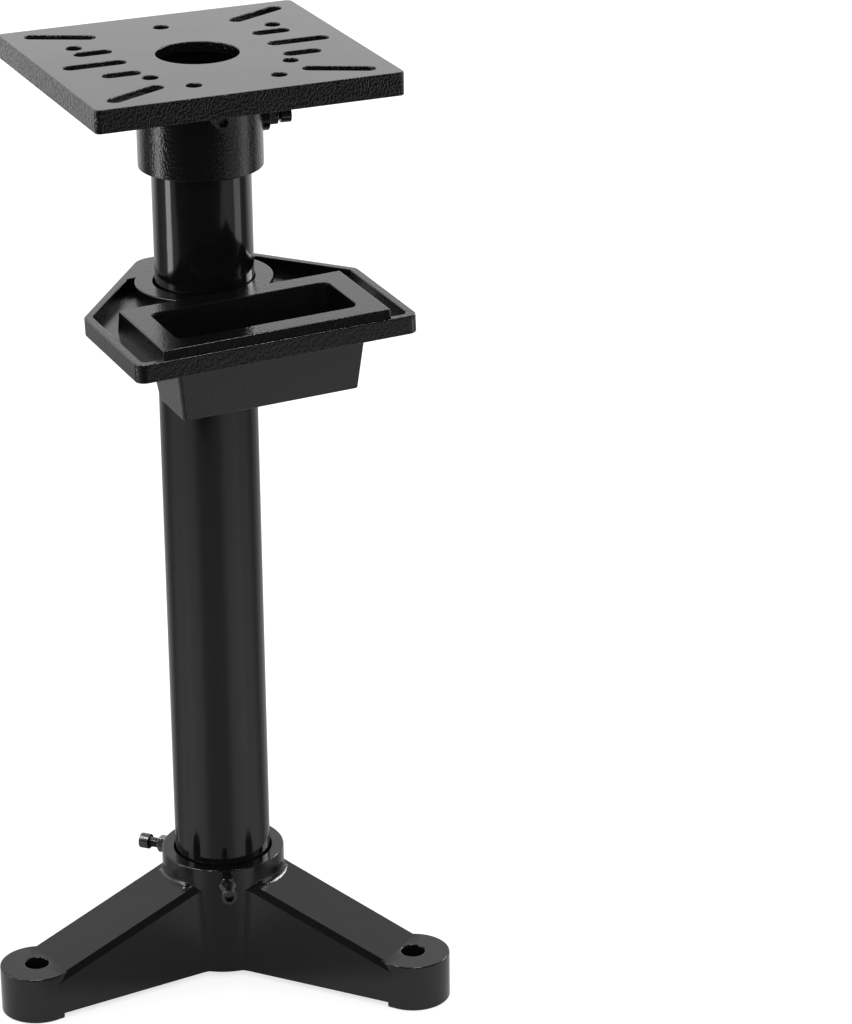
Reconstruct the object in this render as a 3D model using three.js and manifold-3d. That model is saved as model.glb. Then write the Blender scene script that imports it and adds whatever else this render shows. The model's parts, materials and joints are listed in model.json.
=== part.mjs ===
// Bench grinder stand: a cast three-legged base, a round tube column, a cast tray with a water pot
// that slides on the column, and a cast head plate that the grinder is bolted to. Clamp screws with
// lock nuts hold the tube in the base, and hold the tray and the head on the tube.
// Millimetres, +Z up. The column's axis is Z, the floor is Z = 0 and the head's front edge faces -Y.

import * as THREE from "three";
import { mergeVertices } from "three/addons/utils/BufferGeometryUtils.js";
import Module from "manifold-3d";

const wasm = await Module();
wasm.setup();

// Fits between pieces
const BORE_GAP = 1.3; // radial play of the castings round the tube
const SEAT_GAP = 0.3; // between a piece and the face it rests on
const THREAD_GAP = 0.3; // radial, round a screw's shank
const JOIN = 1; // depth by which the solids of one casting run into each other
const CUT = 5; // length by which a cut runs out past the faces it opens

// Column tube
const OVERALL_HEIGHT = 880; // floor to the top of the head plate
const COLUMN_OD = 88.9;
const COLUMN_WALL = 3.2;

// Base casting
const BASE_TURN = -20.5; // degrees, how far the base is turned from the head
const HUB_WALL = 11.5;
const HUB_TOP = 111.5; // above the floor
const SEAT_HEIGHT = 14; // the ledge in the hub that the tube stands on
const SEAT_LEDGE = 8.7; // width of that ledge
const LEG_ANGLES = [-150, -30, 90]; // degrees, front left, front right and rear
const LEG_RAISE = 5; // height of the underside above the floor
const LEG_DROP = 21.5; // hub's top face to the leg's top strip at the hub
const LEG_TOP_WIDTH = 54; // flat strip along the top of a leg
const LEG_SHOULDER = 5; // chamfer beside the strip
const LEG_DRAFT = 0.05; // sideways growth of a leg's sides per unit of depth
const LEG_WALL = 9; // metal left round the hollow underneath
const FOOT_REACH = 200.8; // column axis to the middle of a foot
const FOOT_D = 68;
const FOOT_TOP = 45;
const FOOT_EDGE = 2; // chamfer round the top of a foot
const FOOT_HOLE_D = 22;
const CREASE_INSET = 14; // from the middle of a foot to where the sloping strip starts

// Tray casting, with heights measured down from the top of its collar
const TRAY_LEAN = -2; // degrees about Y, the play in the bore lets the tray hang lower on its left
const TRAY_BELOW_HEAD = 105; // lower end of the head's socket to the top of the collar
const TRAY_WIDTH = 257.5;
const TRAY_FRONT = 185; // column axis to the front face
const TRAY_SIDE_BACK = 45.5; // column axis to the corner where a side turns inwards
const TRAY_BACK = 77; // column axis to the rear face
const TRAY_BACK_WIDTH = 70;
const TRAY_CORNER_R = 9;
const TRAY_BACK_R = 20;
const TRAY_DEPTH = 16.8; // top of the collar to the dish's underside
const RIM_WIDTH = 7.5;
const FLOOR_DROP = 10.4;
const POCKET_BACK = 30; // rear end of the tray's floor, behind the column axis
const POCKET_R = 5;
const COLLAR_WALL = 16.2;
const COLLAR_BELOW = 25.5; // length of the collar below the dish
const FRAME_RISE = 8.6; // top of the pot's raised frame above the collar
const FRAME_SETBACK = 2.5; // tray's front face to the frame
const FRAME_SIDE = 25.2; // tray's side faces to the frame
const FRAME_DEPTH = 115;
const FRAME_WIDTH = 20.5; // metal between the frame's outer edge and the pot's mouth
const POT_WALL = 3.7;
const POT_TAPER = [6, 9.5]; // how far its ends and its long sides lean in from top to bottom
const POT_CORNER_R = 8;
const POT_BELOW = 51.8; // depth of the pot below the dish
const POT_FLOOR = 7; // thickness

// Head casting, with heights measured down from its top face
const HEAD_WIDTH = 280;
const HEAD_DEPTH = 268;
const HEAD_CORNER_R = 5;
const HEAD_EDGE = 21; // height of the rim round the plate
const HEAD_EDGE_WALL = 9;
const HEAD_WEB = 10; // thickness of the plate
const HEAD_LEDGE = 9; // width of the ledge over the tube's end
const SOCKET_WALL = 10;
const SOCKET_LENGTH = 101;
const BOLT_HOLE_D = 14;
const BOLT_HOLES = [ // places of the round holes
  [-93.3, 59.4],
  [93.3, 59.4],
  [-64.3, -57.5],
  [64.3, -57.5],
  [-38.8, -95.6],
  [38.8, -95.6],
  [0, 93.3],
];
const SLOT_WIDTH = 13.5;
const SLOT_MARGIN = 17; // plate's side edge to the outer end of a long slot
const SLOT_LONG = 57;
const SLOT_SHORT = 34.5;
const SLOT_ROW = 37.5; // from one row of straight slots to the next
const CORNER_SLOT_MARGIN = [19.1, 20.3]; // plate's edges to the outer end of a corner slot
const CORNER_SLOT_RUN = [56.7, 28.5]; // from that end to the inner one

// Clamp screws of 3/8 in and their lock nuts
const SCREW_D = 9.5;
const SCREW_HEAD_D = 14.3;
const SCREW_HEAD_LENGTH = 9.5;
const HEX_KEY = 7.9; // across flats
const HEX_DEPTH = 5;
const NUT_FLATS = 14.3;
const NUT_LENGTH = 8.3;
const BASE_SCREW_DROP = 11.5; // hub's top face to the screws
const BASE_SCREWS = { // degrees in the base, thread that shows between the lock nut and the head
  front: [-86.5, 14],
  left: [155, 10],
};
const HEAD_SCREWS = { // degrees in the head, drop from its top face, height of the boss, thread that shows
  front: [-95.5, 41, 0, 7],
  right: [-7, 62.6, 5.6, 2.5],
};
const BOSS_D = 25.4;
const TRAY_SCREW_ANGLE = 90; // degrees in the tray
const TRAY_SCREW_BARE = 8;

// Facets
const ROUND = 48; // sides of a large circle
const SMALL_ROUND = 20; // sides of a screw or a small hole
const ARC = 5; // steps along a corner

const columnRadius = COLUMN_OD / 2;
const boreRadius = columnRadius + BORE_GAP;
const hubRadius = boreRadius + HUB_WALL;
const collarRadius = boreRadius + COLLAR_WALL;
const socketRadius = boreRadius + SOCKET_WALL;
const webUnderside = OVERALL_HEIGHT - HEAD_WEB;
const trayTop = OVERALL_HEIGHT - SOCKET_LENGTH - TRAY_BELOW_HEAD;
const trayScrewHeight = -TRAY_DEPTH - COLLAR_BELOW / 2;

const blackPaint = { color: 0x141416, roughness: 0.35, metalness: 0.2 };
const satinPaint = { color: 0x161618, roughness: 0.45, metalness: 0.2 };
const blackOxide = { color: 0x1b1b1d, roughness: 0.45, metalness: 0.8 };

const radians = THREE.MathUtils.degToRad;

// A closed geometry as a solid that can be joined and cut.
function solid(geometry) {
  const bare = geometry.clone();
  bare.deleteAttribute("normal");
  bare.deleteAttribute("uv");
  const merged = mergeVertices(bare, 1e-3);
  const index = merged.index.array;
  const triVerts = [];
  for (let i = 0; i < index.length; i += 3) {
    const [a, b, c] = [index[i], index[i + 1], index[i + 2]];
    if (a !== b && b !== c && c !== a) triVerts.push(a, b, c);
  }
  const vertProperties = merged.attributes.position.array;
  const mesh = new wasm.Mesh({ numProp: 3, vertProperties, triVerts: new Uint32Array(triVerts) });
  return new wasm.Manifold(mesh);
}

// A named mesh of a finished solid, with a material of its own.
function meshOf(name, shape, look) {
  const { vertProperties, triVerts } = shape.getMesh();
  const geometry = new THREE.BufferGeometry();
  geometry.setAttribute("position", new THREE.BufferAttribute(vertProperties, 3));
  geometry.setIndex(new THREE.BufferAttribute(triVerts, 1));
  geometry.computeVertexNormals();
  const mesh = new THREE.Mesh(geometry, new THREE.MeshStandardMaterial(look));
  mesh.name = name;
  return mesh;
}

// An outline pulled up from one height to another, as a geometry.
function prismGeometry(shape, low, high) {
  const options = { depth: high - low, bevelEnabled: false, curveSegments: ARC };
  return new THREE.ExtrudeGeometry(shape, options).translate(0, 0, low);
}

function prism(shape, low, high) {
  return solid(prismGeometry(shape, low, high));
}

// A round bar along Z.
function bar(radius, low, high, sides = ROUND) {
  const geometry = new THREE.CylinderGeometry(radius, radius, high - low, sides);
  return solid(geometry.rotateX(Math.PI / 2).translate(0, 0, (low + high) / 2));
}

// A profile of [radius, height] points turned about Z.
function turned(profile, sides) {
  const points = profile.map(([r, z]) => new THREE.Vector2(r, z));
  return solid(new THREE.LatheGeometry(points, sides).rotateX(Math.PI / 2));
}

// A polygon whose corners are rounded, each with its own radius.
function roundedPolygon(points, radii) {
  const shape = new THREE.Shape();
  points.forEach(([x, y], i) => {
    const here = new THREE.Vector2(x, y);
    const before = new THREE.Vector2(...points.at(i - 1)).sub(here);
    const after = new THREE.Vector2(...points[(i + 1) % points.length]).sub(here);
    const half = Math.acos(before.dot(after) / before.length() / after.length()) / 2;
    const setback = radii[i] / Math.tan(half);
    const start = before.setLength(setback).add(here);
    const end = after.setLength(setback).add(here);
    if (i === 0) shape.moveTo(start.x, start.y);
    else shape.lineTo(start.x, start.y);
    shape.quadraticCurveTo(x, y, end.x, end.y);
  });
  shape.closePath();
  return shape;
}

function roundedRectangle(width, depth, radius) {
  const [x, y] = [width / 2, depth / 2];
  return roundedPolygon([[-x, -y], [x, -y], [x, y], [-x, y]], [radius, radius, radius, radius]);
}

function rectangle(width, depth) {
  const [x, y] = [width / 2, depth / 2];
  return new THREE.Shape([[-x, -y], [x, -y], [x, y], [-x, y]].map((p) => new THREE.Vector2(...p)));
}

// A round-ended slot from one end point to the other.
function slot([x0, y0], [x1, y1], width) {
  const along = Math.atan2(y1 - y0, x1 - x0);
  const [dx, dy] = [(Math.cos(along) * width) / 2, (Math.sin(along) * width) / 2];
  const shape = new THREE.Shape();
  shape.absarc(x1 - dx, y1 - dy, width / 2, along - Math.PI / 2, along + Math.PI / 2);
  shape.absarc(x0 + dx, y0 + dy, width / 2, along + Math.PI / 2, along + 1.5 * Math.PI);
  shape.closePath();
  return shape;
}

// A rounded box whose ends and long sides lean in by their tapers from its top to its bottom.
function taperedBox([width, depth], [endTaper, sideTaper], radius, low, high) {
  const geometry = prismGeometry(roundedRectangle(width, depth, radius), low, high);
  const position = geometry.attributes.position;
  for (let i = 0; i < position.count; i++) {
    const down = (high - position.getZ(i)) / (high - low);
    position.setX(i, position.getX(i) * (1 - (2 * endTaper * down) / width));
    position.setY(i, position.getY(i) * (1 - (2 * sideTaper * down) / depth));
  }
  return solid(geometry);
}

// A round bar that points away from the column, between two radii.
function radialBar(radius, angle, height, inner, outer) {
  return bar(radius, inner, outer, SMALL_ROUND)
    .transform(new THREE.Matrix4().makeRotationY(Math.PI / 2).toArray())
    .transform(new THREE.Matrix4().makeRotationZ(radians(angle)).setPosition(0, 0, height).toArray());
}

// A radial hole for a clamp screw through the wall between two radii.
function screwHole(angle, height, inner, outer) {
  return radialBar(SCREW_D / 2 + THREAD_GAP, angle, height, inner - CUT, outer + CUT);
}

// One clamp screw with its lock nut, set radially in a wall of the given outer radius. The screw's
// tip meets the tube and the nut seats on the wall, with some bare thread between the nut and the head.
function clampScrew(place, angle, height, wallRadius, bare) {
  const tip = columnRadius + SEAT_GAP;
  const nutSeat = wallRadius + SEAT_GAP;
  const headSeat = nutSeat + NUT_LENGTH + bare;
  const headEnd = headSeat + SCREW_HEAD_LENGTH;
  const [shank, rim] = [SCREW_D / 2, SCREW_HEAD_D / 2];
  const screw = turned(
    [[0, tip], [shank, tip], [shank, headSeat], [rim, headSeat], [rim, headEnd], [0, headEnd]],
    SMALL_ROUND,
  ).subtract(bar(HEX_KEY / Math.sqrt(3), headEnd - HEX_DEPTH, headEnd + CUT, 6));
  const nut = bar(NUT_FLATS / Math.sqrt(3), nutSeat, nutSeat + NUT_LENGTH, 6)
    .subtract(bar(shank + THREAD_GAP, nutSeat - CUT, nutSeat + NUT_LENGTH + CUT, SMALL_ROUND));
  const [system, side] = place;
  const suffix = side ? `_${side}` : "";
  const radial = new THREE.Group();
  const axis = new THREE.Group();
  axis.rotation.y = Math.PI / 2;
  axis.add(meshOf(`${system}_clamp_screw${suffix}`, screw, blackOxide));
  axis.add(meshOf(`${system}_lock_nut${suffix}`, nut, blackOxide));
  radial.rotation.z = radians(angle);
  radial.position.z = height;
  radial.add(axis);
  return radial;
}

// A prism along the slope of a leg's top, whose section is given across the leg and square to the slope.
function slopedPrism(section, slope, topAtAxis, from, to) {
  const geometry = prismGeometry(section, from / Math.cos(slope), to / Math.cos(slope));
  const basis = new THREE.Matrix4().makeBasis(
    new THREE.Vector3(0, 1, 0),
    new THREE.Vector3(Math.sin(slope), 0, Math.cos(slope)),
    new THREE.Vector3(Math.cos(slope), 0, -Math.sin(slope)),
  );
  return solid(geometry.applyMatrix4(basis.setPosition(0, 0, topAtAxis)));
}

// Half-width strip, shoulders and drafted sides of a leg, or of the hollow inside it.
function legSection(halfTop, shoulder, top, depth) {
  const halfShoulder = halfTop + shoulder;
  const halfFoot = halfShoulder + (depth - shoulder) * LEG_DRAFT;
  const rightHalf = [[halfFoot, top - depth], [halfShoulder, top - shoulder], [halfTop, top]];
  const leftHalf = rightHalf.map(([x, y]) => [-x, y]).reverse();
  return new THREE.Shape([...rightHalf, ...leftHalf].map((p) => new THREE.Vector2(...p)));
}

// One leg with its foot, along +X.
function leg() {
  const creaseReach = FOOT_REACH - CREASE_INSET;
  const slope = Math.atan((HUB_TOP - LEG_DROP - FOOT_TOP) / (creaseReach - hubRadius));
  const topAtAxis = FOOT_TOP + creaseReach * Math.tan(slope);
  const depth = topAtAxis + FOOT_REACH;
  const halfTop = LEG_TOP_WIDTH / 2;
  const size = 4 * FOOT_REACH;
  const aboveUnderside = prism(rectangle(size, size), LEG_RAISE, size);
  const footRadius = FOOT_D / 2;
  const footEdge = [[footRadius, FOOT_TOP - FOOT_EDGE], [footRadius - FOOT_EDGE, FOOT_TOP]];
  const foot = turned([[0, 0], [footRadius, 0], ...footEdge, [0, FOOT_TOP]], ROUND);
  const footHole = bar(FOOT_HOLE_D / 2, -CUT, FOOT_TOP + CUT, SMALL_ROUND);
  const outside = legSection(halfTop, LEG_SHOULDER, 0, depth);
  const inside = legSection(halfTop + LEG_SHOULDER - LEG_WALL, LEG_SHOULDER, -LEG_WALL, depth);
  const hollowEnd = FOOT_REACH - footRadius - LEG_WALL;
  return slopedPrism(outside, slope, topAtAxis, boreRadius, FOOT_REACH)
    .intersect(aboveUnderside)
    .subtract(slopedPrism(inside, slope, topAtAxis, hubRadius, hollowEnd))
    .add(foot.translate(FOOT_REACH, 0, 0))
    .subtract(footHole.translate(FOOT_REACH, 0, 0));
}

function baseCasting() {
  const oneLeg = leg();
  const hub = bar(hubRadius, LEG_RAISE, HUB_TOP);
  const withLegs = LEG_ANGLES.reduce((all, angle) => all.add(oneLeg.rotate([0, 0, angle])), hub);
  const holes = Object.values(BASE_SCREWS)
    .map(([angle]) => screwHole(angle, HUB_TOP - BASE_SCREW_DROP, boreRadius, hubRadius));
  return [
    bar(boreRadius, SEAT_HEIGHT, HUB_TOP + CUT),
    bar(boreRadius - SEAT_LEDGE, LEG_RAISE - CUT, SEAT_HEIGHT + CUT),
    ...holes,
  ].reduce((casting, cut) => casting.subtract(cut), withLegs);
}

function columnTube() {
  const [low, high] = [SEAT_HEIGHT + SEAT_GAP, webUnderside - SEAT_GAP];
  return bar(columnRadius, low, high).subtract(bar(columnRadius - COLUMN_WALL, low - CUT, high + CUT));
}

// The tray's plan, drawn in by a distance, with its rear cut off straight at a given place.
function trayPlan(inset, back, corner, backCorner) {
  const [x, xBack] = [TRAY_WIDTH / 2, TRAY_BACK_WIDTH / 2];
  const flank = Math.atan2(x - xBack, TRAY_BACK + TRAY_SIDE_BACK);
  const run = (TRAY_BACK + TRAY_SIDE_BACK) / (x - xBack);
  const xIn = x - inset;
  const turnY = -TRAY_SIDE_BACK - inset * Math.tan(flank / 2);
  const xEnd = xIn - (back - turnY) / run;
  const front = -TRAY_FRONT + inset;
  return roundedPolygon(
    [[-xIn, front], [xIn, front], [xIn, turnY], [xEnd, back], [-xEnd, back], [-xIn, turnY]],
    [corner, corner, corner, backCorner, backCorner, corner],
  );
}

// The tray with the top of its collar at Z = 0, leaning about the middle of the collar.
function trayCasting() {
  const dish = prism(trayPlan(0, TRAY_BACK, TRAY_CORNER_R, TRAY_BACK_R), -TRAY_DEPTH, 0);
  const pocket = prism(trayPlan(RIM_WIDTH, POCKET_BACK, POCKET_R, POCKET_R), -FLOOR_DROP, CUT);
  const frameSize = [TRAY_WIDTH - 2 * FRAME_SIDE, FRAME_DEPTH];
  const potY = FRAME_SETBACK + FRAME_DEPTH / 2 - TRAY_FRONT;
  const potBottom = -TRAY_DEPTH - POT_BELOW;
  const grow = (size, by) => size.map((length) => length + 2 * by);
  const mouthSize = grow(frameSize, -FRAME_WIDTH);
  const shellSize = grow(mouthSize, POT_WALL);
  const frame = prism(rectangle(...frameSize), -FLOOR_DROP - JOIN, FRAME_RISE);
  const shell = taperedBox(shellSize, POT_TAPER, POT_CORNER_R, potBottom, JOIN - TRAY_DEPTH);
  const inside = taperedBox(mouthSize, POT_TAPER, POT_CORNER_R, potBottom + POT_FLOOR, FRAME_RISE + CUT);
  const collarBottom = -TRAY_DEPTH - COLLAR_BELOW;
  const middle = collarBottom / 2;
  return dish
    .subtract(pocket)
    .add(frame.translate(0, potY, 0))
    .add(bar(collarRadius, collarBottom, 0))
    .add(shell.translate(0, potY, 0))
    .subtract(inside.translate(0, potY, 0))
    .subtract(bar(boreRadius, collarBottom - CUT, FRAME_RISE + CUT))
    .translate(0, 0, -middle)
    .rotate([0, TRAY_LEAN, 0])
    .translate(0, 0, middle)
    .subtract(screwHole(TRAY_SCREW_ANGLE, trayScrewHeight, boreRadius, collarRadius));
}

// Straight slots in three rows on both sides, and a slanting slot at each corner.
function headSlots() {
  const slots = [];
  const innerEnd = HEAD_WIDTH / 2 - SLOT_MARGIN - SLOT_LONG;
  const cornerEnd = [HEAD_WIDTH / 2 - CORNER_SLOT_MARGIN[0], HEAD_DEPTH / 2 - CORNER_SLOT_MARGIN[1]];
  const cornerStart = [cornerEnd[0] - CORNER_SLOT_RUN[0], cornerEnd[1] - CORNER_SLOT_RUN[1]];
  for (const side of [-1, 1]) {
    for (const [row, length] of [[-1, SLOT_SHORT], [0, SLOT_LONG], [1, SLOT_SHORT]]) {
      const y = row * SLOT_ROW;
      slots.push(slot([side * innerEnd, y], [side * (innerEnd + length), y], SLOT_WIDTH));
    }
    for (const end of [-1, 1]) {
      const place = ([x, y]) => [side * x, end * y];
      slots.push(slot(place(cornerStart), place(cornerEnd), SLOT_WIDTH));
    }
  }
  return slots.map((shape) => prism(shape, -HEAD_WEB - CUT, CUT));
}

// The head in its own frame, with its top face at Z = 0.
function headCasting() {
  const plan = roundedRectangle(HEAD_WIDTH, HEAD_DEPTH, HEAD_CORNER_R);
  const inner = [HEAD_WIDTH - 2 * HEAD_EDGE_WALL, HEAD_DEPTH - 2 * HEAD_EDGE_WALL];
  const plate = prism(plan, -HEAD_EDGE, 0)
    .subtract(prism(roundedRectangle(...inner, HEAD_CORNER_R), -HEAD_EDGE - CUT, -HEAD_WEB));
  const boltHoles = BOLT_HOLES
    .map(([x, y]) => bar(BOLT_HOLE_D / 2, -HEAD_WEB - CUT, CUT, SMALL_ROUND).translate(x, y, 0));
  const screwHoles = Object.values(HEAD_SCREWS)
    .map(([angle, drop, boss]) => screwHole(angle, -drop, boreRadius, socketRadius + boss));
  const bosses = Object.values(HEAD_SCREWS)
    .filter(([, , boss]) => boss > 0)
    .map(([angle, drop, boss]) => {
      const end = socketRadius + boss;
      return radialBar(BOSS_D / 2, angle, -drop, socketRadius - CUT, end);
    });
  const cuts = [
    bar(boreRadius, -SOCKET_LENGTH - CUT, -HEAD_WEB),
    bar(boreRadius - HEAD_LEDGE, -HEAD_WEB - CUT, CUT),
    ...headSlots(),
    ...boltHoles,
    ...screwHoles,
  ];
  const socket = bar(socketRadius, -SOCKET_LENGTH, JOIN - HEAD_WEB);
  const whole = [socket, ...bosses].reduce((casting, piece) => casting.add(piece), plate);
  return cuts.reduce((casting, cut) => casting.subtract(cut), whole);
}

const stand = new THREE.Group();

const base = new THREE.Group();
base.rotation.z = radians(BASE_TURN);
base.add(meshOf("base_casting", baseCasting(), blackPaint));
for (const [side, [angle, bare]] of Object.entries(BASE_SCREWS)) {
  base.add(clampScrew(["base", side], angle, HUB_TOP - BASE_SCREW_DROP, hubRadius, bare));
}

const tray = new THREE.Group();
tray.position.z = trayTop;
tray.add(meshOf("tray_casting", trayCasting(), blackPaint));
tray.add(clampScrew(["tray"], TRAY_SCREW_ANGLE, trayScrewHeight, collarRadius, TRAY_SCREW_BARE));

const head = new THREE.Group();
head.position.z = OVERALL_HEIGHT;
head.add(meshOf("head_casting", headCasting(), satinPaint));
for (const [side, [angle, drop, boss, bare]] of Object.entries(HEAD_SCREWS)) {
  head.add(clampScrew(["head", side], angle, -drop, socketRadius + boss, bare));
}

stand.add(base, meshOf("column_tube", columnTube(), blackPaint), tray, head);

export default stand;
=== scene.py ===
"""Looks of a bench grinder stand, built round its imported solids.

The stand is a cast tripod base, a round tube column, a cast tray with a water pot and a cast head
plate, held together by clamp screws with lock nuts. Every piece here stands in the place of one
solid and has the softened edges, threads and paint that the solid leaves out.

Lengths are in millimetres and become metres where a mesh is made, and angles are in degrees, where nothing
else is said. The column's axis is Z, the floor is Z = 0 and the head plate's front edge faces -Y.
"""

from __future__ import annotations

import json
import logging
import math
from contextlib import contextmanager
from dataclasses import dataclass
from enum import Enum
from typing import Callable, Iterator, NamedTuple, Sequence, Union

import bmesh
import bpy
from mathutils import Euler, Matrix, Vector

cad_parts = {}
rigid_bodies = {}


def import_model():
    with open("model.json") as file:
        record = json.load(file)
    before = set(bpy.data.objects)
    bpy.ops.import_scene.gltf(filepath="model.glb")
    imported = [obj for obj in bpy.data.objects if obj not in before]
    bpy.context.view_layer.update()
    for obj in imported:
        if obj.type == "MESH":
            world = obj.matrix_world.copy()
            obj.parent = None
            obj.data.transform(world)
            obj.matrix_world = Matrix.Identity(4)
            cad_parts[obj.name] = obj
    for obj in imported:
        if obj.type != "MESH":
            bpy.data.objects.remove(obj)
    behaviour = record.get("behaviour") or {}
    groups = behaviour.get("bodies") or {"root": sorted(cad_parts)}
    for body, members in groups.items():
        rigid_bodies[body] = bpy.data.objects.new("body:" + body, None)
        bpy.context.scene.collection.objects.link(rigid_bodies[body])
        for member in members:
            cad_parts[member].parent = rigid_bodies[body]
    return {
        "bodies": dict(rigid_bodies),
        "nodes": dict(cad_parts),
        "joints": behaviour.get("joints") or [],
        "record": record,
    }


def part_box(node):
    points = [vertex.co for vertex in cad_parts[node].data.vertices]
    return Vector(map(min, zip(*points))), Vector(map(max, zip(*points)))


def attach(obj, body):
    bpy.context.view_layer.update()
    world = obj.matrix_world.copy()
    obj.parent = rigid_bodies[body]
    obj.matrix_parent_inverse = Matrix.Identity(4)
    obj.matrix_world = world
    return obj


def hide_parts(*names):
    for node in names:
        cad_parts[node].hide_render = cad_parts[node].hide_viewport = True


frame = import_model()

LOG = logging.getLogger("grinder_stand")
MM = 0.001
UP = Vector((0, 0, 1))

# Limits for clean meshes and for picking edges: lengths in millimetres, angles in radians
HAIR = 0.01
WELD = 0.02
ON_FACE = 0.05
NEAR = 0.1
ON_ROUND = 0.2
FLAT = math.radians(0.4)
CRISP = math.radians(38)
FOLDED = 2.6

# Facets of round pieces and of small holes
ROUND = 96
SMALL_ROUND = 32

Point = tuple[float, float]
Triple = tuple[float, float, float]
Piece = bpy.types.Object
Edge = bmesh.types.BMEdge
Socket = bpy.types.NodeSocket
Signal = Union[Socket, float, tuple[float, ...], Vector]
Inputs = dict[Union[str, int], Signal]


class Slot(Enum):
    """The record's material slots."""

    CASTING = "casting_paint"
    TUBE = "tube_paint"
    HEAD = "head_paint"
    SCREW = "black_oxide"


class Cut(Enum):
    """How one solid acts on another."""

    JOIN = "UNION"
    REMOVE = "DIFFERENCE"
    KEEP_COMMON = "INTERSECT"


# Modelling operations


def make_active(piece: Piece) -> None:
    """Deselects everything and makes one piece the selected, active object."""
    bpy.ops.object.select_all(action="DESELECT")
    piece.select_set(True)
    bpy.context.view_layer.objects.active = piece


def settle(piece: Piece) -> None:
    """Moves a piece's place, turn and scale into its mesh."""
    make_active(piece)
    bpy.ops.object.transform_apply(location=True, rotation=True, scale=True)


@contextmanager
def editing(piece: Piece, mode: str = "VERT", whole: bool = False) -> Iterator[bmesh.types.BMesh]:
    """Opens a piece in edit mode.

    Args:
        piece: the piece to edit.
        mode: what is selected, VERT, EDGE or FACE.
        whole: starts with all of it selected, and not with nothing.

    Yields:
        The mesh that is edited.
    """
    make_active(piece)
    bpy.ops.object.mode_set(mode="EDIT")
    bpy.ops.mesh.select_mode(type=mode)
    bpy.ops.mesh.select_all(action="SELECT" if whole else "DESELECT")
    try:
        yield bmesh.from_edit_mesh(piece.data)
    finally:
        bpy.ops.object.mode_set(mode="OBJECT")


def move_points(piece: Piece, places: dict[int, Vector]) -> None:
    """Moves single points of a mesh to given places, in metres."""
    with editing(piece) as mesh:
        mesh.verts.ensure_lookup_table()
        for index, place in places.items():
            bpy.ops.mesh.select_all(action="DESELECT")
            mesh.verts[index].select_set(True)
            bpy.ops.transform.translate(value=place - mesh.verts[index].co)


def begin(name: str, primitive: Callable[..., set[str]], **settings: object) -> Piece:
    """Adds the primitive that a piece starts from, with its place in its mesh."""
    bpy.ops.object.select_all(action="DESELECT")
    primitive(**settings)
    piece = bpy.context.object
    piece.name = name
    settle(piece)
    return piece


def rod(name: str, radius: float, low: float, high: float, sides: int = ROUND) -> Piece:
    """A round bar along Z, from one height to another, with a number of facets."""
    shape = {"radius": radius * MM, "depth": (high - low) * MM, "location": (0, 0, (low + high) / 2 * MM)}
    return begin(name, bpy.ops.mesh.primitive_cylinder_add, vertices=sides, **shape)


def loft(name: str, lower: Sequence[Point], upper: Sequence[Point], low: float, high: float) -> Piece:
    """A solid between two outlines that have the same number of points.

    Args:
        name: the piece's name.
        lower: outline at the lower height, anticlockwise.
        upper: outline at the upper height.
        low: lower height.
        high: upper height.

    Returns:
        The solid, with its place in its mesh.
    """
    count = len(lower)
    add = bpy.ops.mesh.primitive_circle_add
    piece = begin(name, add, vertices=count, radius=MM, fill_type="NGON", location=(0, 0, low * MM))
    move_points(piece, {i: Vector((x, y, low)) * MM for i, (x, y) in enumerate(lower)})
    with editing(piece, "FACE", whole=True):
        bpy.ops.mesh.extrude_region_move(TRANSFORM_OT_translate={"value": (0, 0, (high - low) * MM)})
    if list(lower) != list(upper):
        places = {}
        for point in piece.data.vertices[count:]:
            below = min(range(count), key=lambda i: (Vector(lower[i]) * MM - point.co.xy).length)
            places[point.index] = Vector((*upper[below], high)) * MM
        move_points(piece, places)
    with editing(piece, "FACE", whole=True):
        bpy.ops.mesh.normals_make_consistent(inside=False)
    return piece


def prism(name: str, outline: Sequence[Point], low: float, high: float) -> Piece:
    """An outline pulled straight up from one height to another."""
    return loft(name, outline, outline, low, high)


def modify(piece: Piece, kind: str, **settings: object) -> None:
    """Changes a piece by one modifier.

    Args:
        piece: the piece to change.
        kind: the modifier's type.
        settings: the modifier's settings.
    """
    modifier = piece.modifiers.new(kind.lower(), kind)
    for name, value in settings.items():
        setattr(modifier, name, value)
    make_active(piece)
    bpy.ops.object.modifier_apply(modifier=modifier.name)


def act(piece: Piece, tool: Piece, cut: Cut = Cut.REMOVE) -> Piece:
    """Cuts a piece with a tool, or lets the tool act on it in another way, and removes the tool.

    Args:
        piece: the piece that is changed.
        tool: the solid that acts on it.
        cut: how it acts.

    Returns:
        The changed piece.
    """
    modify(piece, "BOOLEAN", operation=cut.value, solver="MANIFOLD", object=tool)
    mesh = tool.data
    bpy.data.objects.remove(tool)
    bpy.data.meshes.remove(mesh)
    return piece


@contextmanager
def picking(piece: Piece, wanted: Callable[[Edge], bool]) -> Iterator[bool]:
    """Opens a piece in edit mode with the edges selected that a test picks.

    Args:
        piece: the piece to edit.
        wanted: says whether an edge is picked.

    Yields:
        Whether there are any.
    """
    with editing(piece, "EDGE") as mesh:
        for edge in mesh.edges:
            edge.select_set(wanted(edge))
        bmesh.update_edit_mesh(piece.data)
        yield any(edge.select for edge in mesh.edges)


def bevel_edges(piece: Piece, wanted: Callable[[Edge], bool], width: float, steps: int) -> None:
    """Bevels the edges of a piece that a test picks, by a width and a number of facets."""
    with picking(piece, wanted):
        bpy.ops.mesh.bevel(offset=width * MM, segments=steps, profile=0.5)


def at_bottom(height: float) -> Callable[[Edge], bool]:
    """A test for the edges that lie at the lower end of a piece, which is at a height."""
    return lambda edge: all(v.co.z < (height + NEAR) * MM for v in edge.verts)


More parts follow.
